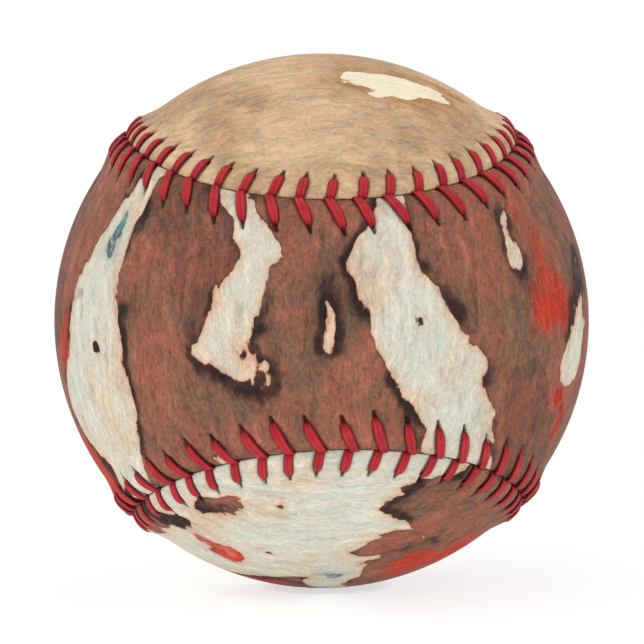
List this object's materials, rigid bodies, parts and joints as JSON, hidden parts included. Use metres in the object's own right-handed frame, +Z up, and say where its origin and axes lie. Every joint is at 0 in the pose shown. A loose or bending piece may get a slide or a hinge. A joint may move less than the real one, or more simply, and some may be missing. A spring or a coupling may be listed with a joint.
{
  "type": "baseball",
  "caption": "Baseball with a cork and rubber centre, yarn windings and figure-eight leather covers laced with red thread.",
  "frame": {"origin": "middle of the ball", "axes": "+Z up; the waist of the front cover faces -Y and lies level; the waist of the back cover faces +Y and stands upright; +Y is the axis about which a quarter turn with a flip carries the seam onto itself"},
  "size_m": [0.0736, 0.0736, 0.0736],
  "materials": {
    "cork": "matt composition cork, fine brown and tan grains with black rubber crumb",
    "black_rubber": "matt moulded black rubber",
    "red_rubber": "satin moulded red rubber",
    "grey_wool": "tightly wound four-ply and three-ply grey wool yarn",
    "white_wool": "tightly wound three-ply white wool yarn",
    "fine_yarn": "fine cream cotton and polyester yarn, coated with cement",
    "printed_leather_brown": "satin printed leather, red-brown and pale green-white washes, fine grain, needle holes",
    "printed_leather_tan": "satin printed leather, tan and cream washes, fine grain, needle holes",
    "red_thread": "waxed crimson two-ply thread"
  },
  "bodies": {
    "root": {"cork_core": "cork", "black_shell_front": "black_rubber", "black_shell_back": "black_rubber", "red_washer": "red_rubber", "red_jacket_front": "red_rubber", "red_jacket_back": "red_rubber", "winding_1_grey_wool": "grey_wool", "winding_2_white_wool": "white_wool", "winding_3_grey_wool": "grey_wool", "winding_4_fine_yarn": "fine_yarn", "cover_front": "printed_leather_brown", "cover_back": "printed_leather_tan", "lacing_thread": "red_thread"}
  },
  "joints": []
}
